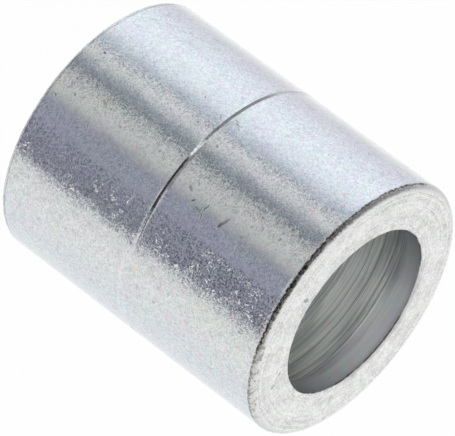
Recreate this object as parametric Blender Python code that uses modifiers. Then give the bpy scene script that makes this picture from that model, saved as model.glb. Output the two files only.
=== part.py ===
"""Crimp hose ferrule, turned in one piece from steel bar.

The ferrule stands on its hose end, with +Z along its axis and the origin at the
centre of the hose end face. The inward collar, which grips the fitting's stem, is
at the top. Below it the bore opens through a sloping shoulder into the wider hose
chamber, whose wall is turned into close rings that bite the hose cover.
"""
import math

import bpy

# Outside form, in metres
OUTSIDE_DIAMETER = 0.0270
LENGTH = 0.03195
COLLAR_EDGE_RADIUS = 0.0006          # rounding of the outer edge at the collar end
HOSE_EDGE_BREAK = 0.00015            # equal-sided break round the hose end

# Marking line turned round the outside
MARK_FROM_HOSE_END = 0.0158
MARK_WIDTH = 0.00042
MARK_DEPTH = 0.00014
MARK_LIP_HEIGHT = 0.00003            # metal thrown up on each side of the line
MARK_LIP_WIDTH = 0.00012

# Inside form
CHAMBER_WALL = 0.0030                # outside to the ring crests
COLLAR_HEIGHT = 0.0017               # ring crests to the collar's bore
COLLAR_LAND = 0.00175                # plain bore of the collar, with its mouth chamfer
COLLAR_MOUTH_CHAMFER = 0.0001
SHOULDER_SLOPE = math.radians(45)    # slope of the shoulder from the axis
HOSE_MOUTH_CHAMFER = 0.0006

# Rings turned in the chamber wall
RING_PITCH = 0.0006
RING_DEPTH = 0.0001

# Facets
SIDES = 48
EDGE_FACETS = 3                      # across the rounded collar edge
SHARP_ANGLE = math.radians(12)

OUTSIDE_RADIUS = OUTSIDE_DIAMETER / 2
CHAMBER_RADIUS = OUTSIDE_RADIUS - CHAMBER_WALL
COLLAR_RADIUS = CHAMBER_RADIUS - COLLAR_HEIGHT
SHOULDER_TOP = LENGTH - COLLAR_LAND
SHOULDER_FOOT = SHOULDER_TOP - COLLAR_HEIGHT / math.tan(SHOULDER_SLOPE)


def clear_scene():
    """Remove every object that is in the file already."""
    for thing in list(bpy.data.objects):
        bpy.data.objects.remove(thing, do_unlink=True)


def mark_outline(centre):
    """The marking line's section, top to bottom: a V between two raised lips."""
    half = MARK_WIDTH / 2
    outer = half + MARK_LIP_WIDTH
    lip = OUTSIDE_RADIUS + MARK_LIP_HEIGHT
    return [
        (OUTSIDE_RADIUS, centre + outer),
        (lip, centre + half),
        (OUTSIDE_RADIUS - MARK_DEPTH, centre),
        (lip, centre - half),
        (OUTSIDE_RADIUS, centre - outer),
    ]


def collar_edge_outline():
    """The rounded outer edge at the collar end, from the face out and down to the wall."""
    outline = []
    for i in range(EDGE_FACETS + 1):
        turn = math.radians(90) * i / EDGE_FACETS
        inset = COLLAR_EDGE_RADIUS * (1 - math.sin(turn))
        drop = COLLAR_EDGE_RADIUS * (1 - math.cos(turn))
        outline.append((OUTSIDE_RADIUS - inset, LENGTH - drop))
    return outline


def outside_outline():
    """The outer side, top to bottom, from the collar face to the hose end face."""
    return [
        *collar_edge_outline(),
        *mark_outline(MARK_FROM_HOSE_END),
        (OUTSIDE_RADIUS, HOSE_EDGE_BREAK),
        (OUTSIDE_RADIUS - HOSE_EDGE_BREAK, 0),
    ]


def ring_outline(bottom, top):
    """Crests and roots of as many whole rings as fit, bottom to top, against the top."""
    count = max(0, math.floor((top - bottom) / RING_PITCH))
    start = top - count * RING_PITCH
    outline = []
    for ring in range(count):
        crest = start + ring * RING_PITCH
        outline.append((CHAMBER_RADIUS, crest))
        outline.append((CHAMBER_RADIUS + RING_DEPTH, crest + RING_PITCH / 2))
    return outline


def inside_outline():
    """The bore, bottom to top: hose mouth, ringed chamber, shoulder and collar."""
    return [
        (CHAMBER_RADIUS + HOSE_MOUTH_CHAMFER, 0),
        (CHAMBER_RADIUS, HOSE_MOUTH_CHAMFER),
        *ring_outline(HOSE_MOUTH_CHAMFER + RING_PITCH / 2, SHOULDER_FOOT),
        (CHAMBER_RADIUS, SHOULDER_FOOT),
        (COLLAR_RADIUS, SHOULDER_TOP),
        (COLLAR_RADIUS, LENGTH - COLLAR_MOUTH_CHAMFER),
        (COLLAR_RADIUS + COLLAR_MOUTH_CHAMFER, LENGTH),
    ]


def turned(name, outline, collection):
    """Spin a closed outline of (radius, height) points round the Z axis."""
    profile = bpy.data.meshes.new(name + "_profile")
    corners = [(radius, 0, height) for radius, height in outline]
    count = len(corners)
    profile.from_pydata(corners, [(i, (i + 1) % count) for i in range(count)], [])
    spinner = bpy.data.objects.new(name + "_profile", profile)
    bpy.context.scene.collection.objects.link(spinner)

    screw = spinner.modifiers.new("turn", "SCREW")
    screw.axis = "Z"
    screw.angle = math.tau
    screw.steps = SIDES
    screw.render_steps = SIDES
    screw.use_merge_vertices = True
    screw.merge_threshold = 0.000001
    screw.use_smooth_shade = True

    graph = bpy.context.evaluated_depsgraph_get()
    mesh = bpy.data.meshes.new_from_object(spinner.evaluated_get(graph))
    mesh.name = name
    mesh.shade_smooth()
    mesh.set_sharp_from_angle(angle=SHARP_ANGLE)
    bpy.data.objects.remove(spinner, do_unlink=True)
    bpy.data.meshes.remove(profile)

    piece = bpy.data.objects.new(name, mesh)
    collection.objects.link(piece)
    return piece


def zinc_plated_steel():
    """Bright zinc plate over turned steel."""
    material = bpy.data.materials.new("zinc_plated_steel")
    material.use_nodes = True
    shader = material.node_tree.nodes["Principled BSDF"]
    shader.inputs["Base Color"].default_value = (0.70, 0.72, 0.74, 1)
    shader.inputs["Metallic"].default_value = 1.0
    shader.inputs["Roughness"].default_value = 0.3
    return material


def build_ferrule():
    """Make the ferrule in a collection of its own."""
    collection = bpy.data.collections.new("crimp_hose_ferrule")
    bpy.context.scene.collection.children.link(collection)
    ferrule = turned("ferrule_body", outside_outline() + inside_outline(), collection)
    ferrule.data.materials.append(zinc_plated_steel())
    return ferrule


clear_scene()
build_ferrule()
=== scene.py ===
"""Bright zinc-plated crimp hose ferrule, standing on its hose end in a white studio.

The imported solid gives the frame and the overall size. The ferrule shown here is turned
again on the same outline, with more facets, a slightly wandering surface and a burr round
the collar end, and each zone of it carries its own plated finish.
"""
import math

import bpy
import numpy as np
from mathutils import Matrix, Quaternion, Vector


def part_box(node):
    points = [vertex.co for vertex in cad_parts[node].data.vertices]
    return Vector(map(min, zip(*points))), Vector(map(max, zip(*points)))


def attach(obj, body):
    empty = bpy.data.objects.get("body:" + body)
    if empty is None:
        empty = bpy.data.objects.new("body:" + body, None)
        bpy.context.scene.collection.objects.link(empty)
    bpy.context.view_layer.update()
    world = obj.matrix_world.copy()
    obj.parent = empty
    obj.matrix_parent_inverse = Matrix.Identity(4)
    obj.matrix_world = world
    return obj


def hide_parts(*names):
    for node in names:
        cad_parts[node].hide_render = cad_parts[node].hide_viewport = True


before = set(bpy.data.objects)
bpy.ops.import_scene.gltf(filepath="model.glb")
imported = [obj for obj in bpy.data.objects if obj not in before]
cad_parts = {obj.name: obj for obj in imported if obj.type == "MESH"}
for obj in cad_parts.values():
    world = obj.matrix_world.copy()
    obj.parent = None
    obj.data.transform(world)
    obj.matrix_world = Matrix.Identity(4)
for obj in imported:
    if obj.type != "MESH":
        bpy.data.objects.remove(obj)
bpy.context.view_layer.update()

MM = 0.001

# Sizes of the turned form, as on the solid
MARK_LIP_HEIGHT = 0.03 * MM
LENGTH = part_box("ferrule_body")[1].z
OUTSIDE_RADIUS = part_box("ferrule_body")[1].x - MARK_LIP_HEIGHT
CHAMBER_RADIUS = OUTSIDE_RADIUS - 3.0 * MM
COLLAR_RADIUS = CHAMBER_RADIUS - 1.7 * MM
COLLAR_LAND = 1.75 * MM
COLLAR_EDGE_RADIUS = 0.6 * MM
HOSE_EDGE_BREAK = 0.15 * MM
COLLAR_MOUTH_CHAMFER = 0.1 * MM
HOSE_MOUTH_CHAMFER = 0.6 * MM
RING_PITCH = 0.6 * MM
RING_DEPTH = 0.1 * MM
SHOULDER_TOP = LENGTH - COLLAR_LAND
SHOULDER_FOOT = SHOULDER_TOP - (CHAMBER_RADIUS - COLLAR_RADIUS)

# Marking line, from the collar side down: the foot and crest of one raised lip, the bottom
# of the groove, then the crest and foot of the other lip
MARK_DEPTH = 0.14 * MM
MARK_TOP = 16.12 * MM
MARK_COLLAR_LIP = 15.97 * MM
MARK_BOTTOM = 15.86 * MM
MARK_HOSE_LIP = 15.64 * MM
MARK_FOOT = 15.47 * MM

# Facets of the shown mesh
SIDES = 384
WALL_STEP = 0.42 * MM
FACE_STEP = 0.4 * MM
SHOULDER_FOOT_STRIP = 0.02 * MM
EDGE_STEPS = 10
SHARP_ANGLE = math.radians(39)

# Facets across the rounded corners at the hose end and at the collar's mouth
BASE_FACETS = 3
MOUTH_FACETS = 4

# How far the real surface strays from the true turned form
WALL_WANDER = 0.005 * MM
BURR_WANDER = 0.022 * MM
RING_WANDER = 0.006 * MM

# The waves it strays in: how many, their least and most cycles a turn, and how fast they climb
SEED = 11
WALL_RIPPLES = {"waves": 24, "rates": (6, 34), "rises": 1.6}
RING_RIPPLES = {"waves": 20, "rates": (0, 5), "rises": 9.0}
BURR_RIPPLES = {"waves": 60, "rates": (18, 150), "rises": 9.0}

# The photograph's viewing angle, from a camera fitted to the object's outline
CAMERA_TILT = math.radians(26.42)        # above the horizon, looking along +Y
CAMERA_ROLL = math.radians(126.64)       # turns the ferrule's axis to the lower right
CAMERA_DISTANCE = 34.256 * OUTSIDE_RADIUS
CAMERA_LENS = 397.1
AIM_HEIGHT = 1.13 * OUTSIDE_RADIUS
AIM_RIGHT = 0.0312 * OUTSIDE_RADIUS      # off the axis, along the picture's width
AIM_UP = -0.0289 * OUTSIDE_RADIUS        # and along its height


def camera():
    """The photograph's camera: long lens, rolled, a little off the ferrule's centre."""
    back = Vector((0, -math.cos(CAMERA_TILT), math.sin(CAMERA_TILT)))
    turn = (-back).to_track_quat("-Z", "Y") @ Quaternion((0, 0, 1), CAMERA_ROLL)
    offset = turn @ Vector((AIM_RIGHT, AIM_UP, 0))
    data = bpy.data.cameras.new("camera")
    data.lens = CAMERA_LENS
    data.clip_start, data.clip_end = 0.01, 10
    made = bpy.data.objects.new("camera", data)
    bpy.context.scene.collection.objects.link(made)
    made.rotation_mode = "QUATERNION"
    made.rotation_quaternion = turn
    made.location = Vector((0, 0, AIM_HEIGHT)) + back * CAMERA_DISTANCE + offset
    bpy.context.scene.camera = made


def steps(start, end, size):
    """Values from start towards end in equal steps of about this size, without the last."""
    count = max(1, round(abs(end - start) / size))
    return [start + (end - start) * i / count for i in range(count)]


def edge_outline():
    """Rounded outer edge at the collar end, from the face out and down to the wall."""
    points = []
    for i in range(EDGE_STEPS):
        turn = math.radians(90) * i / EDGE_STEPS
        points.append((OUTSIDE_RADIUS - COLLAR_EDGE_RADIUS * (1 - math.sin(turn)),
                       LENGTH - COLLAR_EDGE_RADIUS * (1 - math.cos(turn))))
    return points


def wall_outline():
    """Outside wall with its marking line, from the collar end down."""
    top = LENGTH - COLLAR_EDGE_RADIUS
    lip = OUTSIDE_RADIUS + MARK_LIP_HEIGHT
    upper = [(OUTSIDE_RADIUS, height) for height in steps(top, MARK_TOP, WALL_STEP)]
    lower = [(OUTSIDE_RADIUS, height) for height in steps(MARK_FOOT, HOSE_EDGE_BREAK, WALL_STEP)]
    mark = [
        (OUTSIDE_RADIUS, MARK_TOP),
        (lip, MARK_COLLAR_LIP),
        (OUTSIDE_RADIUS - MARK_DEPTH, MARK_BOTTOM),
        (lip, MARK_HOSE_LIP),
    ]
    return upper + mark + lower


def base_outline():
    """Rounded break of the hose end and its flat face, inwards to the mouth."""
    points = []
    for i in range(BASE_FACETS + 1):
        turn = math.radians(90) * i / BASE_FACETS
        points.append((OUTSIDE_RADIUS - HOSE_EDGE_BREAK * (1 - math.cos(turn)),
                       HOSE_EDGE_BREAK * (1 - math.sin(turn))))
    return points


def chamber_outline():
    """Hose mouth and ringed chamber, from the hose end up to the shoulder."""
    ring_bottom = HOSE_MOUTH_CHAMFER + RING_PITCH / 2
    count = math.floor((SHOULDER_FOOT - ring_bottom) / RING_PITCH)
    start = SHOULDER_FOOT - count * RING_PITCH
    points = [(CHAMBER_RADIUS + HOSE_MOUTH_CHAMFER, 0), (CHAMBER_RADIUS, HOSE_MOUTH_CHAMFER)]
    for ring in range(count):
        crest = start + ring * RING_PITCH
        points.append((CHAMBER_RADIUS, crest))
        points.append((CHAMBER_RADIUS + RING_DEPTH, crest + RING_PITCH / 2))
    return points


def land_outline():
    """Sloping shoulder, the collar's smooth bore and its rounded mouth."""
    mouth_foot = LENGTH - COLLAR_MOUTH_CHAMFER
    points = [
        (CHAMBER_RADIUS, SHOULDER_FOOT - SHOULDER_FOOT_STRIP),
        (CHAMBER_RADIUS, SHOULDER_FOOT),
        (COLLAR_RADIUS, SHOULDER_TOP),
    ]
    points += [(COLLAR_RADIUS, height) for height in steps(SHOULDER_TOP, mouth_foot, WALL_STEP)[1:]]
    for i in range(MOUTH_FACETS):
        turn = math.radians(90) * i / MOUTH_FACETS
        points.append((COLLAR_RADIUS + COLLAR_MOUTH_CHAMFER * (1 - math.cos(turn)),
                       mouth_foot + COLLAR_MOUTH_CHAMFER * math.sin(turn)))
    return points


def face_outline():
    """Flat collar face, from the bore's mouth outwards."""
    inner = COLLAR_RADIUS + COLLAR_MOUTH_CHAMFER
    outer = OUTSIDE_RADIUS - COLLAR_EDGE_RADIUS
    return [(radius, LENGTH) for radius in steps(inner, outer, FACE_STEP)]


ZONES = (
    ("edge", edge_outline),
    ("wall", wall_outline),
    ("base", base_outline),
    ("chamber", chamber_outline),
    ("land", land_outline),
    ("face", face_outline),
)


def ripples(random, turns, heights, waves, rates, rises):
    """Sum of seeded waves that close on themselves round the axis, about 1 tall."""
    total = np.zeros((len(heights), len(turns)))
    for _ in range(waves):
        rate = random.integers(rates[0], rates[1] + 1)
        rise = random.uniform(-rises, rises)
        phase = random.uniform(0, math.tau)
        total += np.cos(rate * turns[None, :] + rise * heights[:, None] / MM + phase)
    return total / math.sqrt(waves)


def crease(mesh, outline):
    """Mark the rings of edges where the true outline turns sharply."""
    before = outline - np.roll(outline, 1, axis=0)
    after = np.roll(outline, -1, axis=0) - outline
    turn = np.arctan2(after[:, 1], after[:, 0]) - np.arctan2(before[:, 1], before[:, 0])
    turn = np.abs((turn + math.pi) % math.tau - math.pi)
    ends = np.empty(2 * len(mesh.edges), dtype=np.int32)
    mesh.edges.foreach_get("vertices", ends)
    rows = ends.reshape(-1, 2) // SIDES
    sharp = (rows[:, 0] == rows[:, 1]) & (turn[rows[:, 0]] > SHARP_ANGLE)
    mesh.edges.foreach_set("use_edge_sharp", sharp)


def turned_ferrule():
    """Turn the zones' outline into one closed mesh, let it wander, and set each face's material index by its
    zone.
    """
    outline, zone_of = [], []
    for number, (_, points_of) in enumerate(ZONES):
        points = points_of()
        outline += points
        zone_of += [number] * len(points)
    outline, zone_of = np.array(outline), np.array(zone_of)
    turns = np.arange(SIDES) * math.tau / SIDES
    radii = np.repeat(outline[:, :1], SIDES, axis=1)
    heights = np.repeat(outline[:, 1:], SIDES, axis=1)

    random = np.random.default_rng(SEED)
    slow = ripples(random, turns, outline[:, 1], **WALL_RIPPLES)
    rings = ripples(random, turns, outline[:, 1], **RING_RIPPLES)
    burr = ripples(random, turns, outline[:, 1], **BURR_RIPPLES)
    named = [ZONES[number][0] for number in zone_of]
    for i, name in enumerate(named):
        if name == "wall":
            radii[i] += WALL_WANDER * slow[i]
        elif name == "chamber":
            radii[i] += RING_WANDER * rings[i]
        elif name == "edge":
            lean = (outline[i, 1] - LENGTH + COLLAR_EDGE_RADIUS) / COLLAR_EDGE_RADIUS
            dent = BURR_WANDER * (burr[i] - 1) * min(1, 3 * (1 - lean))
            radii[i] += dent * math.sqrt(1 - lean ** 2)
            heights[i] += dent * lean
    radii = np.minimum(radii, OUTSIDE_RADIUS + MARK_LIP_HEIGHT)
    heights = np.clip(heights, 0, LENGTH)

    count = len(outline)
    grid = np.stack([radii * np.cos(turns), radii * np.sin(turns), heights], axis=-1)
    index = np.arange(count * SIDES).reshape(count, SIDES)
    below = np.roll(index, -1, axis=0)
    quads = np.stack([index, below, np.roll(below, -1, axis=1), np.roll(index, -1, axis=1)], axis=-1)
    mesh = bpy.data.meshes.new("turned_ferrule")
    mesh.from_pydata(grid.reshape(-1, 3).tolist(), [], quads.reshape(-1, 4).tolist())
    mesh.polygons.foreach_set("material_index", np.repeat(zone_of, SIDES).tolist())
    mesh.shade_smooth()
    crease(mesh, outline)
    made = bpy.data.objects.new("turned_ferrule", mesh)
    bpy.context.scene.collection.objects.link(made)
    return made


def node(tree, kind, inputs=None, **settings):
    """Add a shader node: settings are its properties, inputs its values or links."""
    made = tree.nodes.new(kind)
    for name, value in settings.items():
        setattr(made, name, value)
    for key, value in (inputs or {}).items():
        if isinstance(value, bpy.types.NodeSocket):
            tree.links.new(value, made.inputs[key])
        else:
            made.inputs[key].default_value = value
    return made


def sum_of(tree, operation, a, b=0.0, clamp=False):
    """One Math node's result."""
    return node(tree, "ShaderNodeMath", {0: a, 1: b}, operation=operation, use_clamp=clamp).outputs[0]


def vector_of(tree, operation, a, b):
    """One Vector Math node's vector result."""
    return node(tree, "ShaderNodeVectorMath", {0: a, 1: b}, operation=operation).outputs[0]


def scaled(tree, vector, factor):
    """A vector times a number."""
    return node(tree, "ShaderNodeVectorMath", {0: vector, "Scale": factor}, operation="SCALE").outputs[0]


def between(tree, value, low, high, to_low=0.0, to_high=1.0, smooth=True):
    """Map a value from one range to another, clamped at both ends."""
    kind = "SMOOTHSTEP" if smooth else "LINEAR"
    given = {"Value": value, "From Min": low, "From Max": high, "To Min": to_low, "To Max": to_high}
    return node(tree, "ShaderNodeMapRange", given, interpolation_type=kind).outputs["Result"]


def noise(tree, place, scale, detail=2.0, roughness=0.5, flat=False, output="Fac"):
    """Fractal noise at this many lumps a millimetre."""
    given = {"Vector": place, "Scale": scale, "Detail": detail, "Roughness": roughness}
    made = node(tree, "ShaderNodeTexNoise", given, noise_dimensions="2D" if flat else "3D")
    return made.outputs[output]


def centred_noise(tree, place, scale, detail):
    """Flat noise as a vector that swings to both sides of nought."""
    coloured = noise(tree, place, scale, detail, flat=True, output="Color")
    return vector_of(tree, "SUBTRACT", coloured, (0.5, 0.5, 0.5))


def mixed(tree, share, a, b, blend="MIX"):
    """Mix two colours."""
    made = node(tree, "ShaderNodeMix", data_type="RGBA", blend_type=blend)
    for key, value in (("Factor_Float", share), ("A_Color", a), ("B_Color", b)):
        socket = next(s for s in made.inputs if s.identifier == key)
        if isinstance(value, bpy.types.NodeSocket):
            tree.links.new(value, socket)
        else:
            socket.default_value = value
    return next(s for s in made.outputs if s.identifier == "Result_Color")


def ramp(tree, share, stops, easing="EASE"):
    """A colour ramp through these (position, colour) stops."""
    made = node(tree, "ShaderNodeValToRGB", {0: share})
    made.color_ramp.interpolation = easing
    elements = made.color_ramp.elements
    for element, (position, colour) in zip((elements[0], elements[1]), (stops[0], stops[-1])):
        element.position, element.color = position, (*colour, 1)
    for position, colour in stops[1:-1]:
        elements.new(position).color = (*colour, 1)
    return made.outputs[0]


def start_group(name, inputs, outputs):
    """Start a shader node group with named sockets; returns its tree and given values."""
    tree = bpy.data.node_groups.new(name, "ShaderNodeTree")
    for label, kind, value in inputs:
        socket = tree.interface.new_socket(label, in_out="INPUT", socket_type="NodeSocket" + kind)
        if value is not None:
            socket.default_value = value
    for label, kind in outputs:
        tree.interface.new_socket(label, in_out="OUTPUT", socket_type="NodeSocket" + kind)
    return tree, tree.nodes.new("NodeGroupInput").outputs


def end_group(tree, results):
    """Link a group's results to its output sockets."""
    end = tree.nodes.new("NodeGroupOutput")
    for label, socket in results.items():
        tree.links.new(socket, end.inputs[label])
    return tree


def use(tree, group, inputs=None):
    """Place a node group; returns its outputs."""
    return node(tree, "ShaderNodeGroup", inputs, node_tree=group).outputs


def places_group():
    """Where a point is: in millimetres, unrolled round a wall, and along a radius."""
    tree, given = start_group("ferrule_places", [("Wall Radius", "Float", 13.5)], [
        ("Millimetres", "Vector"), ("Unrolled", "Vector"), ("Radius", "Float"), ("Height", "Float"),
        ("Turn", "Float")])
    here = node(tree, "ShaderNodeTexCoord").outputs["Object"]
    millimetres = scaled(tree, here, 1 / MM)
    parts = node(tree, "ShaderNodeSeparateXYZ", {0: millimetres}).outputs
    turn = sum_of(tree, "ARCTAN2", parts[0], sum_of(tree, "MULTIPLY", parts[1], -1.0))
    around = sum_of(tree, "MULTIPLY", turn, given["Wall Radius"])
    unrolled = node(tree, "ShaderNodeCombineXYZ", {0: around, 1: parts[2]}).outputs[0]
    flat = node(tree, "ShaderNodeCombineXYZ", {0: parts[0], 1: parts[1]}).outputs[0]
    radius = node(tree, "ShaderNodeVectorMath", {0: flat}, operation="LENGTH").outputs["Value"]
    degrees = sum_of(tree, "MULTIPLY", turn, 180 / math.pi)
    return end_group(tree, {"Millimetres": millimetres, "Unrolled": unrolled, "Radius": radius,
                            "Height": parts[2], "Turn": degrees})


def tint_group():
    """Thin-film tints of the zinc's passivation: mint, ice, lilac and straw in soft patches."""
    tree, given = start_group("plating_tint", [
        ("Place", "Vector", None), ("Patch Size", "Float", 2.0), ("Strength", "Float", 1.0)],
        [("Tint", "Color")])
    rate = sum_of(tree, "DIVIDE", 1.0, given["Patch Size"])
    cloud = noise(tree, given["Place"], rate, detail=4.0, roughness=0.62)
    spread = between(tree, cloud, 0.3, 0.7, smooth=False)
    film = ramp(tree, spread, [
        (0.00, (1.00, 0.97, 0.93)), (0.22, (0.97, 1.00, 0.97)), (0.38, (0.93, 1.00, 0.99)),
        (0.52, (0.97, 0.98, 1.00)), (0.66, (0.99, 0.94, 1.00)), (0.80, (0.94, 0.97, 1.00)),
        (1.00, (0.96, 1.00, 0.95))], easing="LINEAR")
    return end_group(tree, {"Tint": mixed(tree, given["Strength"], (1, 1, 1, 1), film)})


def grain_group():
    """Fine mottle of the plated surface, about 0 to 1."""
    tree, given = start_group("plating_grain", [
        ("Place", "Vector", None), ("Grain Size", "Float", 0.15)], [("Grain", "Float")])
    rate = sum_of(tree, "DIVIDE", 1.0, given["Grain Size"])
    fine = noise(tree, given["Place"], rate, detail=3.0, roughness=0.65)
    return end_group(tree, {"Grain": between(tree, fine, 0.25, 0.75, smooth=False)})


def hair_group():
    """Short straight scratches, each patch of them lying its own way.

    Wave is their height, -1 to 1, and Deep picks out the few strong ones."""
    tree, given = start_group("hair_scratches", [
        ("Place", "Vector", None), ("Length", "Float", 0.5), ("Width", "Float", 0.1),
        ("Seed", "Float", 0.0)], [("Wave", "Float"), ("Deep", "Float")])
    seed = node(tree, "ShaderNodeCombineXYZ", {0: given["Seed"], 1: given["Seed"]}).outputs[0]
    start = vector_of(tree, "ADD", given["Place"], seed)
    bend = centred_noise(tree, start, 2.0, 1.0)
    bent = vector_of(tree, "ADD", start, scaled(tree, bend, 0.22))
    rate = sum_of(tree, "DIVIDE", 0.9, given["Length"])
    cells = node(tree, "ShaderNodeTexVoronoi", {"Vector": bent, "Scale": rate},
                 voronoi_dimensions="2D").outputs
    chance = node(tree, "ShaderNodeSeparateColor", {0: cells["Color"]}).outputs
    turn = sum_of(tree, "MULTIPLY", chance[0], math.tau)
    turned = node(tree, "ShaderNodeVectorRotate", {"Vector": bent, "Angle": turn},
                  rotation_type="Z_AXIS").outputs[0]
    size = node(tree, "ShaderNodeCombineXYZ", {0: given["Length"], 1: given["Width"], 2: 1.0}).outputs[0]
    own_start = scaled(tree, cells["Color"], 40.0)
    drawn = vector_of(tree, "ADD", vector_of(tree, "DIVIDE", turned, size), own_start)
    lines = noise(tree, drawn, 1.0, 0.0, flat=True)
    wave = between(tree, lines, 0.25, 0.75, -1, 1, smooth=False)
    strong = between(tree, chance[1], 0.55, 0.95)
    deep = sum_of(tree, "MULTIPLY", between(tree, lines, 0.58, 0.74), strong)
    return end_group(tree, {"Wave": wave, "Deep": deep})


def turned_group():
    """Fine tool marks along a turned surface: uneven rings that fade in and out."""
    tree, given = start_group("tool_marks", [
        ("Along", "Float", 0.0), ("Place", "Vector", None), ("Pitch", "Float", 0.15),
        ("Drift", "Float", 0.1), ("Patch Size", "Float", 2.0)], [("Mark", "Float")])
    slow = noise(tree, given["Place"], 0.3, 1.0)
    drift = sum_of(tree, "MULTIPLY", slow, given["Drift"])
    along = sum_of(tree, "DIVIDE", sum_of(tree, "ADD", given["Along"], drift), given["Pitch"])
    line = node(tree, "ShaderNodeTexNoise", {"W": along, "Scale": 1.0, "Detail": 2.0},
                noise_dimensions="1D").outputs["Fac"]
    flattened = vector_of(tree, "MULTIPLY", given["Place"], (1, 1, 5))
    spread = scaled(tree, flattened, sum_of(tree, "DIVIDE", 1.0, given["Patch Size"]))
    patch = between(tree, noise(tree, spread, 1.0, 1.0), 0.3, 0.7, 0.3, 1.0)
    return end_group(tree, {"Mark": sum_of(tree, "MULTIPLY", between(tree, line, 0.3, 0.7), patch)})


def pits_group():
    """Scattered small pits; only some cells hold one."""
    tree, given = start_group("small_pits", [
        ("Place", "Vector", None), ("Spacing", "Float", 1.5), ("Size", "Float", 0.12),
        ("Share", "Float", 0.4)], [("Pit", "Float")])
    rate = sum_of(tree, "DIVIDE", 1.0, given["Spacing"])
    cells = node(tree, "ShaderNodeTexVoronoi", {"Vector": given["Place"], "Scale": rate}).outputs
    chance = node(tree, "ShaderNodeSeparateColor", {0: cells["Color"]}).outputs
    held = sum_of(tree, "LESS_THAN", chance[0], given["Share"])
    share = sum_of(tree, "MULTIPLY", given["Size"], rate)
    wide = sum_of(tree, "MULTIPLY", share, sum_of(tree, "ADD", chance[1], 0.3))
    lumps = noise(tree, given["Place"], 9.0, 1.0)
    fray = sum_of(tree, "MULTIPLY", lumps, sum_of(tree, "MULTIPLY", wide, 0.8))
    frayed = sum_of(tree, "ADD", cells["Distance"], fray)
    edge = sum_of(tree, "MULTIPLY", wide, 1.4)
    dot = between(tree, frayed, sum_of(tree, "MULTIPLY", wide, 0.8), edge, 1.0, 0.0)
    return end_group(tree, {"Pit": sum_of(tree, "MULTIPLY", dot, held)})


def nick_group():
    """One nick or spot at a named place on the unrolled wall or the flat face."""
    tree, given = start_group("nick", [
        ("Surface", "Vector", None), ("Centre", "Vector", (0, 0, 0)), ("Angle", "Float", 0.0),
        ("Length", "Float", 0.6), ("Width", "Float", 0.2)], [("Nick", "Float")])
    fray = centred_noise(tree, given["Surface"], 5.0, 2.0)
    rough = vector_of(tree, "ADD", given["Surface"], scaled(tree, fray, 0.15))
    local = vector_of(tree, "SUBTRACT", rough, given["Centre"])
    turned = node(tree, "ShaderNodeVectorRotate", {"Vector": local, "Angle": given["Angle"]},
                  rotation_type="Z_AXIS").outputs[0]
    size = node(tree, "ShaderNodeCombineXYZ", {0: given["Length"], 1: given["Width"], 2: 1.0}).outputs[0]
    share = vector_of(tree, "DIVIDE", turned, size)
    far = node(tree, "ShaderNodeVectorMath", {0: share}, operation="LENGTH").outputs["Value"]
    return end_group(tree, {"Nick": between(tree, far, 0.25, 0.6, 1.0, 0.0)})


PLACES = places_group()
TINT = tint_group()
GRAIN = grain_group()
HAIR = hair_group()
MARKS = turned_group()
PITS = pits_group()
NICK = nick_group()

# Nicks seen on the wall: degrees round it, height, length and width in millimetres,
# slope in degrees and darkness
NICKS = (
    (2.7, 22.6, 1.5, 0.36, -25, 0.70),
    (4.3, 22.4, 0.7, 0.45, -10, 0.85),
    (2.0, 20.3, 0.9, 0.20, -15, 0.80),
    (5.6, 20.35, 1.5, 0.17, 15, 0.80),
    (4.4, 19.6, 0.8, 0.18, 82, 0.60),
    (4.7, 19.9, 0.5, 0.16, 0, 0.50),
    (2.6, 18.8, 0.55, 0.20, -50, 0.95),
    (2.9, 24.9, 0.50, 0.18, -47, 0.60),
    (-5.0, 28.0, 0.35, 0.20, -39, 0.50),
    (48.8, 19.4, 0.38, 0.28, 69, 0.60),
    (31.3, 15.3, 0.45, 0.30, 65, 0.70),
    (71.3, 14.2, 0.50, 0.60, 79, 0.35),
    (32.7, 29.3, 0.60, 0.20, 73, 0.55),
    (34.1, 29.2, 0.50, 0.20, 82, 0.45),
    (-0.4, 17.9, 0.8, 0.26, 58, 0.50),
    (-4.0, 18.2, 0.6, 0.20, 45, 0.35),
    (-19.5, 17.1, 0.4, 0.20, 45, 0.60),
    (-7.9, 25.3, 0.3, 0.18, 60, 0.50),
    (4.1, 5.7, 0.6, 0.20, 35, 0.65),
    (-6.8, 5.7, 0.6, 0.16, -50, 0.40),
    (-23.3, 2.0, 0.45, 0.22, 80, 1.0),
    (-18.3, 1.9, 0.25, 0.22, 0, 0.80),
    (-8.5, 1.8, 0.28, 0.20, 30, 0.80),
    (-3.0, 2.7, 0.28, 0.24, 0, 0.75),
    (1.5, 1.1, 0.35, 0.20, 70, 0.70),
    (-30.5, 15.1, 0.45, 0.16, 35, 0.55),
    (-27.8, 14.7, 0.40, 0.15, 60, 0.45),
    (-24.6, 14.9, 0.35, 0.16, 20, 0.45),
    (-23.0, 13.9, 0.30, 0.22, 0, 0.65),
    (-33.4, 16.5, 0.50, 0.11, 75, 0.60),
    (-32.2, 16.8, 0.55, 0.10, 80, 0.65),
    (-31.0, 17.2, 0.50, 0.11, 70, 0.60),
    (-31.6, 16.3, 0.40, 0.11, 85, 0.50),
    (-33.8, 12.4, 0.30, 0.20, 40, 0.65),
    (-8.5, 15.1, 0.38, 0.16, 70, 0.70),
)

# Spots seen on the collar face: degrees round it, radius, length and width in millimetres,
# slope in degrees and darkness
FACE_SPOTS = (
    (10.2, 10.0, 0.95, 0.60, -80, 0.60),
    (64.8, 10.9, 0.60, 0.35, 0, 0.55),
    (58.8, 9.95, 0.60, 0.30, 30, 0.45),
    (-108.6, 11.2, 0.50, 0.35, 0, 0.40),
    (132.0, 10.35, 0.80, 0.60, 0, 0.25),
    (131.0, 12.8, 0.50, 0.40, 0, 0.35),
)


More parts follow.
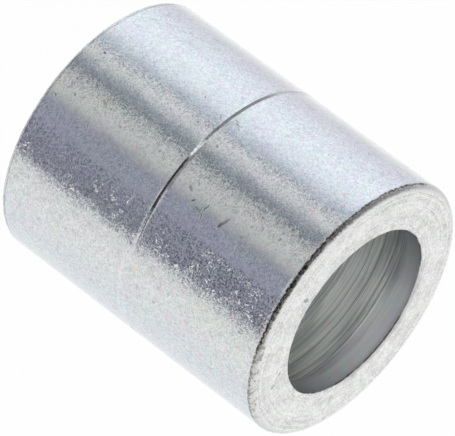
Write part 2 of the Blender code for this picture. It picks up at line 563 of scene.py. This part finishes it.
def on_wall(turn, height):
    """A place on the unrolled wall, in millimetres."""
    return math.radians(turn) * OUTSIDE_RADIUS / MM, height, 0


def on_face(turn, radius):
    """A place on the collar face, in millimetres."""
    return radius * math.sin(math.radians(turn)), -radius * math.cos(math.radians(turn)), LENGTH / MM


def nicks(tree, surface, place_of, table):
    """All the nicks or spots of one table together, as one mask."""
    together = 0.0
    for turn, distance, length, width, slope, darkness in table:
        given = {"Surface": surface, "Centre": place_of(turn, distance), "Angle": math.radians(-slope),
                 "Length": length, "Width": width}
        one = sum_of(tree, "MULTIPLY", use(tree, NICK, given)["Nick"], darkness)
        together = sum_of(tree, "MAXIMUM", one, together)
    return together


def hairs(tree, place, layers):
    """Layers of hair scratches, each (length, width, seed, weight): their wave and deep sums."""
    wave, deep = 0.0, 0.0
    for length, width, seed, weight in layers:
        made = use(tree, HAIR, {"Place": place, "Length": length, "Width": width, "Seed": seed})
        wave = sum_of(tree, "ADD", sum_of(tree, "MULTIPLY", made["Wave"], weight), wave)
        deep = sum_of(tree, "MAXIMUM", made["Deep"], deep)
    return wave, deep


def material(name):
    """A new material with its tree and its Principled BSDF."""
    made = bpy.data.materials.new(name)
    made.use_nodes = True
    return made, made.node_tree, made.node_tree.nodes["Principled BSDF"]


def bump(tree, height, distance):
    """Surface normal from a height mask, this many millimetres tall."""
    return node(tree, "ShaderNodeBump", {"Height": height, "Distance": distance * MM}).outputs[0]


def leaned(tree, normal, around):
    """A normal leaned round the axis by this slope."""
    tangent = vector_of(tree, "CROSS_PRODUCT", (0, 0, 1), normal)
    swung = vector_of(tree, "ADD", normal, scaled(tree, tangent, around))
    return node(tree, "ShaderNodeVectorMath", {0: swung}, operation="NORMALIZE").outputs[0]


def band(tree, value, low, high, soft):
    """1 between low and high, fading out over this much on each side."""
    rise = between(tree, value, low - soft, low)
    fall = between(tree, value, high, high + soft, 1.0, 0.0)
    return sum_of(tree, "MULTIPLY", rise, fall)


def product(tree, *values):
    """All these values times each other."""
    result = values[0]
    for value in values[1:]:
        result = sum_of(tree, "MULTIPLY", result, value)
    return result


def largest(tree, *masks):
    """The strongest of several masks."""
    result = masks[0]
    for mask in masks[1:]:
        result = sum_of(tree, "MAXIMUM", result, mask)
    return result


def ragged(tree, value, place, lumps, reach):
    """A value shifted by noise, so that a mask made from it has a ragged edge."""
    shift = sum_of(tree, "SUBTRACT", noise(tree, place, lumps, 3.0, 0.6), 0.5)
    return sum_of(tree, "ADD", value, sum_of(tree, "MULTIPLY", shift, reach))


# Uneven parts of the wall's finish: degrees round it, from and to, and how far they fade out
COARSE_STRIPE = (15, 27, 3)
BRUSHED_SIDE = (-32, 12, 4)
STREAKED_SIDE = (-34, -11, 3)

# The marking line's smooth groove, and soil at the wall's foot: heights in millimetres, and fade
GROOVE = (15.49, 16.10, 0.04)
FOOT_SOIL = (0.28, 0.34, 0.06)

# Soil and painted shade along parts of the marking line: heights, degrees round it, each with its fade, and
# darkness
LINE_SOIL_AND_SHADE = (
    ((15.98, 16.12, 0.10), (-11, 3, 4), 0.55),
    ((15.83, 15.88, 0.04), (14, 29, 4), 0.80),
    ((15.88, 16.02, 0.10), (-65, -36, 4), 0.22),
)
# Painted highlight, lines beside the marking line painted brighter on one side: heights, degrees round it,
# each with its fade, and share
PAINTED_HIGHLIGHT_LINES = ((15.88, 15.94, 0.06), (15.0, 15.2, 0.10))
PAINTED_HIGHLIGHT_SIDE = (38, 72, 6)
PAINTED_HIGHLIGHT_SHARE = 0.07


def line_soil_and_shade(tree, height, turn):
    """Soil and painted shade left along parts of the marking line."""
    return largest(tree, *[
        product(tree, band(tree, height, *heights), band(tree, turn, *side), darkness)
        for heights, side, darkness in LINE_SOIL_AND_SHADE])


def painted_highlight_lines(tree, height, turn):
    """Painted highlight: faint bright lines beside the marking line, on one side."""
    lines = largest(tree, *[band(tree, height, *heights) for heights in PAINTED_HIGHLIGHT_LINES])
    return product(tree, lines, band(tree, turn, *PAINTED_HIGHLIGHT_SIDE), PAINTED_HIGHLIGHT_SHARE)


def coarse_mottle(tree, place):
    """Short curls and dots of coarser plating, about -1 to 1."""
    curls = use(tree, HAIR, {"Place": place["Unrolled"], "Length": 0.34, "Width": 0.11, "Seed": 61.3})["Wave"]
    dots = between(tree, noise(tree, place["Millimetres"], 5.0, 1.0), 0.34, 0.66, -1, 1, smooth=False)
    return sum_of(tree, "ADD", product(tree, curls, 0.6), product(tree, dots, 0.5))


def strong_scratches(tree, place, stripe):
    """Strong scratches in the coarse stripe, in patches that gather towards the collar."""
    towards_collar = between(tree, place["Height"], 12, 24, -0.09, 0.09)
    gathered = sum_of(tree, "ADD", noise(tree, place["Millimetres"], 0.5, 2.0), towards_collar)
    scratches = hairs(tree, place["Unrolled"], ((0.65, 0.14, 47.1, 0.0), (0.50, 0.12, 53.9, 0.0)))[1]
    return product(tree, between(tree, scratches, 0.05, 0.4), stripe, between(tree, gathered, 0.42, 0.60))


def wall_shade(tree, place, grain, wave, stripe):
    """Light and dark of the wall's plating: grain, brushing, smudges and coarse mottle, with painted
    highlight lines beside the marking line.
    """
    height, turn, here = place["Height"], place["Turn"], place["Millimetres"]
    smudge = between(tree, noise(tree, here, 0.9, 3.0, 0.6), 0.56, 0.72)
    brushing = sum_of(tree, "ADD", product(tree, band(tree, turn, *BRUSHED_SIDE), 0.09), 0.15)
    brushed = sum_of(tree, "SUBTRACT", product(tree, wave, brushing), product(tree, smudge, 0.12))
    shade = sum_of(tree, "ADD", between(tree, grain, 0, 1, 0.87, 1.07, smooth=False), brushed)
    mottle = coarse_mottle(tree, place)
    streaking = sum_of(tree, "ADD", 0.045, product(tree, band(tree, turn, *STREAKED_SIDE), 0.15))
    streaked = sum_of(tree, "ADD", 1.0, product(tree, mottle, streaking))
    coarseness = between(tree, height, 14, 22, 0.36, 0.58)
    coarse = product(tree, stripe, sum_of(tree, "SUBTRACT", product(tree, mottle, coarseness), 0.09))
    shade = product(tree, shade, sum_of(tree, "ADD", coarse, streaked))
    # Adds the painted highlight lines beside the marking line
    return sum_of(tree, "ADD", shade, painted_highlight_lines(tree, height, turn))


def wall_finish():
    """Bright zinc on the outside wall: hair scratches, faint film tints, nicks and pits."""
    made, tree, shader = material("zinc_wall")
    place = use(tree, PLACES, {"Wall Radius": OUTSIDE_RADIUS / MM})
    here, height, turn = place["Millimetres"], place["Height"], place["Turn"]
    tint = use(tree, TINT, {"Place": here, "Patch Size": 2.4, "Strength": 0.8})["Tint"]
    grain = use(tree, GRAIN, {"Place": here, "Grain Size": 0.40})["Grain"]
    wave, deep = hairs(tree, place["Unrolled"], (
        (0.60, 0.14, 3.1, 0.5), (0.40, 0.10, 17.3, 0.5), (0.28, 0.075, 31.7, 0.55)))
    stripe = band(tree, turn, *COARSE_STRIPE)
    pits = use(tree, PITS, {"Place": here, "Spacing": 1.3, "Size": 0.09, "Share": 0.35})["Pit"]
    marks = largest(tree, nicks(tree, place["Unrolled"], on_wall, NICKS), product(tree, pits, 0.45))

    zinc = mixed(tree, 1.0, tint, (0.88, 0.90, 0.925, 1), "MULTIPLY")
    clean = scaled(tree, zinc, wall_shade(tree, place, grain, wave, stripe))
    foot_soil = product(tree, band(tree, ragged(tree, height, here, 1.6, 0.4), *FOOT_SOIL), 0.5)
    # The soil mask: nicks, pits and soil at the foot, with soil and painted shade along the marking line
    soil = largest(tree, marks, foot_soil, line_soil_and_shade(tree, height, turn))
    soiled = mixed(tree, product(tree, soil, 0.85), clean, (0.10, 0.09, 0.085, 1))
    tree.links.new(soiled, shader.inputs["Base Color"])
    shader.inputs["Metallic"].default_value = 1
    rough = sum_of(tree, "ADD", between(tree, grain, 0.2, 0.9, 0.08, 0.13, smooth=False),
                   product(tree, marks, 0.2))
    tree.links.new(rough, shader.inputs["Roughness"])

    off_groove = sum_of(tree, "SUBTRACT", 1.0, band(tree, height, *GROOVE))
    dented = sum_of(tree, "SUBTRACT", product(tree, deep, 0.6, off_groove), product(tree, marks, 4.0))
    scratches = strong_scratches(tree, place, stripe)
    swing = sum_of(tree, "ADD", product(tree, wave, 0.045), product(tree, scratches, 0.30))
    normal = leaned(tree, bump(tree, dented, 0.0042), product(tree, swing, off_groove))
    tree.links.new(normal, shader.inputs["Normal"])
    return made


# Soiled rims of the collar face, as radii in millimetres: its mouth with its fade, and its edge
MOUTH_RIM = (8.95, 9.2, 0.2)
EDGE_RIM = (12.3, 12.9)
# Painted shade: a grey band round the bore's mouth on the far side of the face, as radii in millimetres
PAINTED_MOUTH_SHADE = (8.95, 9.8)


def face_soil(tree, place, across, deep):
    """Pits and spots of the collar face, soil in its deep scratches and crumbs at its rims."""
    here, radius = place["Millimetres"], place["Radius"]
    pits = use(tree, PITS, {"Place": here, "Spacing": 1.6, "Size": 0.12, "Share": 0.3})["Pit"]
    crumbs = between(tree, noise(tree, here, 3.0, 3.0, 0.65), 0.56, 0.70)
    mouth = product(tree, band(tree, radius, *MOUTH_RIM), between(tree, across, -1, 4, 0.6, 1.3))
    rims = product(tree, largest(tree, between(tree, radius, *EDGE_RIM), mouth), crumbs, 0.55)
    spots = nicks(tree, here, on_face, FACE_SPOTS)
    return largest(tree, product(tree, pits, 0.5), spots, rims, product(tree, deep, 0.28))


def face_finish():
    """The faced collar end: whiter and duller, with faint rings from the facing tool."""
    made, tree, shader = material("zinc_collar_face")
    place = use(tree, PLACES, {"Wall Radius": OUTSIDE_RADIUS / MM})
    here, radius = place["Millimetres"], place["Radius"]
    tint = use(tree, TINT, {"Place": here, "Patch Size": 2.0, "Strength": 0.5})["Tint"]
    grain = use(tree, GRAIN, {"Place": here, "Grain Size": 0.5})["Grain"]
    fine = use(tree, MARKS, {"Along": radius, "Place": here, "Pitch": 0.16, "Drift": 0.3})["Mark"]
    broad = use(tree, MARKS, {"Along": radius, "Place": here, "Pitch": 0.5, "Drift": 0.5})["Mark"]
    rings = sum_of(tree, "ADD", product(tree, fine, 0.5), product(tree, broad, 0.5))
    wave, deep = hairs(tree, here, ((0.55, 0.12, 5.7, 0.6), (0.40, 0.09, 23.9, 0.5)))
    across = node(tree, "ShaderNodeSeparateXYZ", {0: here}).outputs[1]

    zinc = mixed(tree, 1.0, tint, (0.985, 0.985, 0.965, 1), "MULTIPLY")
    scratched = sum_of(tree, "SUBTRACT", product(tree, wave, 0.20), product(tree, rings, 0.34))
    shade = sum_of(tree, "ADD", between(tree, grain, 0, 1, 0.89, 1.09, smooth=False), scratched)
    # Painted shade: the face darkened near the mouth on its far side
    painted_mouth_shade = product(tree, between(tree, radius, *PAINTED_MOUTH_SHADE, 0.28, 0.0), between(tree, across, 4.5, 8.5))
    clean = scaled(tree, zinc, product(tree, shade, sum_of(tree, "SUBTRACT", 1.0, painted_mouth_shade)))
    soiled = mixed(tree, face_soil(tree, place, across, deep), clean, (0.22, 0.19, 0.15, 1))
    tree.links.new(soiled, shader.inputs["Base Color"])
    shader.inputs["Metallic"].default_value = 1
    shader.inputs["Roughness"].default_value = 0.4
    relief = sum_of(tree, "ADD", rings, sum_of(tree, "ADD", grain, wave))
    tree.links.new(bump(tree, relief, 0.004), shader.inputs["Normal"])
    return made


# Dirt and painted shade in the burr of the collar edge: heights above the edge's foot, in millimetres with
# their fade, and for two overlapping sides the degrees round it with their fade, and the darkness
BURR_LINE = ((0.11, 0.24, 0.05), ((-72, 32, 8), 0.90), ((-14, 58, 10), 0.25))
BURR_ZONE = ((0.11, 0.40, 0.10), ((-60, 36, 14), 0.34), ((-22, 22, 10), 0.42))
CRUMBLY_FOOT = (0.05, 0.17, 0.06)
CRUMBLY_SIDE = (32, 74, 6)


def burr_dirt_and_shade(tree, rise, turn, heights, front, middle):
    """One belt of soil and painted shade along the burr."""
    sides = [product(tree, band(tree, turn, *side), darkness) for side, darkness in (front, middle)]
    return product(tree, band(tree, rise, *heights), sum_of(tree, "ADD", *sides))


def edge_finish():
    """The rounded collar edge: bare plating at the top, a ragged dark burr lower down, darkened with soil and
    painted shade, most on one side.
    """
    made, tree, shader = material("collar_edge_burr")
    place = use(tree, PLACES, {"Wall Radius": OUTSIDE_RADIUS / MM})
    here, turn = place["Millimetres"], place["Turn"]
    grain = use(tree, GRAIN, {"Place": here, "Grain Size": 0.3})["Grain"]
    lumps = noise(tree, here, 2.2, 3.0, 0.65)
    foot = (LENGTH - COLLAR_EDGE_RADIUS) / MM
    rise = ragged(tree, sum_of(tree, "SUBTRACT", place["Height"], foot), here, 2.6, 0.5)

    # The burr's dark belts, soil and painted shade together, darkest from -72 to 32 degrees round the edge
    dirt_and_shade = largest(tree, burr_dirt_and_shade(tree, rise, turn, *BURR_LINE), burr_dirt_and_shade(tree, rise, turn, *BURR_ZONE))
    dirt_and_shade = product(tree, dirt_and_shade, between(tree, grain, 0.35, 0.75, 1.0, 0.72))
    gathered = product(tree, band(tree, rise, *CRUMBLY_FOOT),
                       between(tree, noise(tree, here, 3.2, 3.0, 0.6), 0.42, 0.54, 0.15, 0.85))
    scattered = between(tree, noise(tree, here, 2.2, 3.0, 0.6), 0.50, 0.62, 0.0, 0.55)
    crumbs = product(tree, largest(tree, gathered, scattered), band(tree, turn, *CRUMBLY_SIDE))
    plate = scaled(tree, (0.86, 0.87, 0.86), between(tree, grain, 0, 1, 0.84, 1.0, smooth=False))
    flecked = mixed(tree, crumbs, plate, (0.19, 0.15, 0.12, 1))
    colour = mixed(tree, dirt_and_shade, flecked, (0.06, 0.05, 0.05, 1))
    tree.links.new(colour, shader.inputs["Base Color"])
    shader.inputs["Metallic"].default_value = 1
    shader.inputs["Roughness"].default_value = 0.3
    tree.links.new(bump(tree, sum_of(tree, "ADD", grain, lumps), 0.03), shader.inputs["Normal"])
    return made


# Heights where the bore's finish changes, in millimetres: streaks and the shoulder's painted shade over the
# top of the shoulder, and the soiled rim of its mouth
STREAKS_CHANGE = (SHOULDER_TOP / MM - 0.4, SHOULDER_TOP / MM + 0.1)
PAINTED_SHADE_CHANGES = (SHOULDER_TOP / MM - 0.25, SHOULDER_TOP / MM + 0.1)
MOUTH_SOIL = (31.76, 31.88)


def bore_finish(name, colour, roughness, pitches, contrasts, relief, shoulder=1.0, feed=0.0):
    """Turned inside of the ferrule: streaks of the boring tool under the plating.

    The streaks' contrasts are given below and above the top of the shoulder, shoulder is the painted shade of
    the slope, a darker colour there, and feed how far the tool's feed leans the surface down the bore."""
    made, tree, shader = material(name)
    place = use(tree, PLACES, {"Wall Radius": CHAMBER_RADIUS / MM})
    here, height = place["Millimetres"], place["Height"]
    tint = use(tree, TINT, {"Place": here, "Patch Size": 3.0, "Strength": 0.8})["Tint"]
    streaks = 0.0
    for pitch in pitches:
        mark = use(tree, MARKS, {"Along": height, "Place": here, "Pitch": pitch,
                                 "Drift": 0.25, "Patch Size": 6.0})["Mark"]
        streaks = sum_of(tree, "ADD", sum_of(tree, "DIVIDE", mark, len(pitches)), streaks)
    grain = use(tree, GRAIN, {"Place": here, "Grain Size": 0.2})["Grain"]

    hue = mixed(tree, streaks, (0.97, 0.95, 1.0, 1), (1.0, 1.0, 0.88, 1))
    zinc = mixed(tree, 1.0, mixed(tree, 1.0, tint, hue, "MULTIPLY"), (*colour, 1), "MULTIPLY")
    contrast = between(tree, height, *STREAKS_CHANGE, *contrasts)
    streaked = product(tree, sum_of(tree, "SUBTRACT", streaks, 0.35), contrast)
    shade = sum_of(tree, "ADD", between(tree, grain, 0, 1, 0.97, 1.01, smooth=False), streaked)
    # Painted shade: the colour darkened over the shoulder's slope by the shoulder factor
    slope = between(tree, height, *PAINTED_SHADE_CHANGES, shoulder, 1.0)
    clean = scaled(tree, zinc, product(tree, shade, slope))
    broken = between(tree, noise(tree, here, 0.8, 3.0), 0.40, 0.56, 0.25, 0.9)
    rim = between(tree, ragged(tree, height, here, 2.4, 0.25), *MOUTH_SOIL)
    soiled = mixed(tree, product(tree, rim, broken), clean, (0.14, 0.11, 0.10, 1))
    tree.links.new(soiled, shader.inputs["Base Color"])
    shader.inputs["Metallic"].default_value = 1
    shader.inputs["Roughness"].default_value = roughness
    feed_marks = vector_of(tree, "ADD", bump(tree, streaks, relief), (0, 0, -feed))
    level = node(tree, "ShaderNodeVectorMath", {0: feed_marks}, operation="NORMALIZE").outputs[0]
    tree.links.new(level, shader.inputs["Normal"])
    return made


# The studio seen from the ferrule, below the horizon: degrees round it, brightness, colour
PLAIN = (1.00, 1.00, 1.00)
ROSE = (0.99, 0.98, 1.06)
ICE = (0.96, 1.00, 1.06)
STEEL = (0.92, 1.00, 1.10)
OLIVE = (1.00, 1.00, 0.97)
LILAC = (0.95, 0.965, 1.16)
MINT = (0.98, 1.00, 1.01)
WARM = (1.00, 0.99, 0.96)
STUDIO = (
    (-180, 0.97, PLAIN), (-162, 0.93, PLAIN), (-150, 0.79, PLAIN), (-138, 0.73, ROSE),
    (-124, 0.79, ROSE), (-112, 0.87, ICE), (-90, 0.96, ICE), (-74, 0.90, ICE),
    (-66, 0.80, ICE), (-61, 0.66, STEEL), (-56, 0.47, STEEL), (-50, 0.62, PLAIN),
    (-44, 0.69, PLAIN), (-39, 0.64, PLAIN), (-33, 0.37, STEEL), (-28, 0.25, STEEL),
    (-24, 0.30, STEEL), (-19, 0.47, OLIVE), (-8, 0.57, OLIVE), (0, 0.53, OLIVE),
    (5, 0.43, PLAIN), (9, 0.31, LILAC), (18, 0.34, LILAC), (50, 0.275, LILAC),
    (57, 0.285, LILAC), (61, 0.53, PLAIN), (65, 0.72, WARM), (72, 0.77, WARM),
    (90, 0.83, WARM), (126, 0.82, MINT), (150, 0.86, MINT), (180, 0.97, PLAIN),
)
# And above the horizon: a white tent, dark round the opening that the camera looks through
TENT = (
    (-180, 0.95), (-155, 0.88), (-135, 0.55), (-115, 0.32), (-90, 0.28), (-60, 0.22),
    (-46, 0.26), (-39, 0.66), (-34, 0.88), (-27, 0.88), (-22, 0.05), (32, 0.05),
    (40, 0.34), (50, 0.40), (60, 0.72), (75, 0.80), (180, 0.95),
)


# Heights on a sphere round the ferrule, 1 straight up, between which the studio's parts change
FLOOR_PIT = (-0.86, -0.80)
FLOOR_GLOW = (-0.66, -0.58)
SKIRT = (-0.32, -0.22)
HORIZON = (0.04, 0.14)
EAVES = (0.28, 0.38)
ROOF = (0.90, 0.98)

# The side that glows more, as degrees round the ferrule, and greys of the studio's parts
BRIGHT_SIDE = (14, 60, 8)
DIM_GLOW = (0.38, 0.38, 0.38, 1)
BRIGHT_GLOW = (0.58, 0.58, 0.58, 1)
EAVES_GREY = (0.60, 0.60, 0.60, 1)
WHITE = (1, 1, 1, 1)


def studio_world():
    """White tent with dark gaps, painted by direction; the camera sees plain white.

    From the floor up: a white pit, the studio's ring with a glow at least as bright at its
    skirt and steep below, the tent, its eaves never darker than mid grey, and a white roof."""
    world = bpy.data.worlds.new("studio")
    bpy.context.scene.world = world
    world.use_nodes = True
    tree = world.node_tree
    tree.nodes.clear()
    place = node(tree, "ShaderNodeTexCoord").outputs["Generated"]
    parts = node(tree, "ShaderNodeSeparateXYZ", {0: place}).outputs
    rise = parts[2]
    turn = sum_of(tree, "ARCTAN2", parts[0], sum_of(tree, "MULTIPLY", parts[1], -1.0))
    share = sum_of(tree, "ADD", sum_of(tree, "DIVIDE", turn, math.tau), 0.5)
    low = ramp(tree, share, [(degrees / 360 + 0.5, tuple(min(1, brightness * c) for c in colour))
                             for degrees, brightness, colour in STUDIO])
    high = ramp(tree, share, [(degrees / 360 + 0.5, (brightness,) * 3) for degrees, brightness in TENT])

    eaves = mixed(tree, between(tree, rise, *EAVES, 1.0, 0.0), high, EAVES_GREY, "LIGHTEN")
    roofed = mixed(tree, between(tree, rise, *ROOF), eaves, WHITE)
    aside = band(tree, turn, *(math.radians(degrees) for degrees in BRIGHT_SIDE))
    glow = mixed(tree, aside, DIM_GLOW, BRIGHT_GLOW)
    skirt = mixed(tree, between(tree, rise, *SKIRT), low, glow, "LIGHTEN")
    steep = product(tree, between(tree, rise, *FLOOR_GLOW, 1.0, 0.0), aside)
    footed = mixed(tree, steep, skirt, glow, "LIGHTEN")
    pit = mixed(tree, between(tree, rise, *FLOOR_PIT, 1.0, 0.0), footed, WHITE)
    dome = mixed(tree, between(tree, rise, *HORIZON), pit, roofed)
    seen = node(tree, "ShaderNodeLightPath").outputs["Is Camera Ray"]
    background = node(tree, "ShaderNodeBackground", {"Color": mixed(tree, seen, dome, WHITE)})
    node(tree, "ShaderNodeOutputWorld", {"Surface": background.outputs[0]})


# The floor, a hair below the ferrule, in metres
FLOOR_SIZE = 6.0
FLOOR_GAP = 0.02 * MM
FLOOR_WHITENESS = 0.98                   # how much of the floor the camera sees as plain white


def floor():
    """Pale floor that shows plain white to the camera and keeps a soft shadow."""
    mesh = bpy.data.meshes.new("floor")
    half = FLOOR_SIZE / 2
    corners = [(-half, -half, 0), (half, -half, 0), (half, half, 0), (-half, half, 0)]
    mesh.from_pydata(corners, [], [(0, 1, 2, 3)])
    made = bpy.data.objects.new("floor", mesh)
    bpy.context.scene.collection.objects.link(made)
    made.location.z = -FLOOR_GAP
    made.visible_glossy = False
    finish = bpy.data.materials.new("white_floor")
    finish.use_nodes = True
    tree = finish.node_tree
    tree.nodes.clear()
    matt = node(tree, "ShaderNodeBsdfDiffuse", {"Color": (0.9, 0.9, 0.9, 1)})
    glow = node(tree, "ShaderNodeEmission", {"Color": (1, 1, 1, 1), "Strength": 1.0})
    camera_ray = node(tree, "ShaderNodeLightPath").outputs["Is Camera Ray"]
    share = product(tree, camera_ray, FLOOR_WHITENESS)
    both = node(tree, "ShaderNodeMixShader", {0: share, 1: matt.outputs[0], 2: glow.outputs[0]})
    node(tree, "ShaderNodeOutputMaterial", {"Surface": both.outputs[0]})
    mesh.materials.append(finish)


camera()
studio_world()
floor()
ferrule = turned_ferrule()
face = face_finish()
# The land's shoulder factor is painted shade on the shoulder's slope
land = bore_finish(
    "zinc_bore_land", colour=(0.82, 0.83, 0.855), roughness=0.34, pitches=(0.25,),
    contrasts=(0.60, 0.05), relief=0.002, shoulder=0.74, feed=0.12)
chamber = bore_finish(
    "zinc_ringed_chamber", colour=(0.875, 0.895, 0.865), roughness=0.32, pitches=(0.14, 0.42),
    contrasts=(1.25, 1.25), relief=0.02)
for finish in (edge_finish(), wall_finish(), face, chamber, land, face):
    ferrule.data.materials.append(finish)
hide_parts("ferrule_body")
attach(ferrule, "root")

bpy.context.scene.view_settings.view_transform = "Standard"
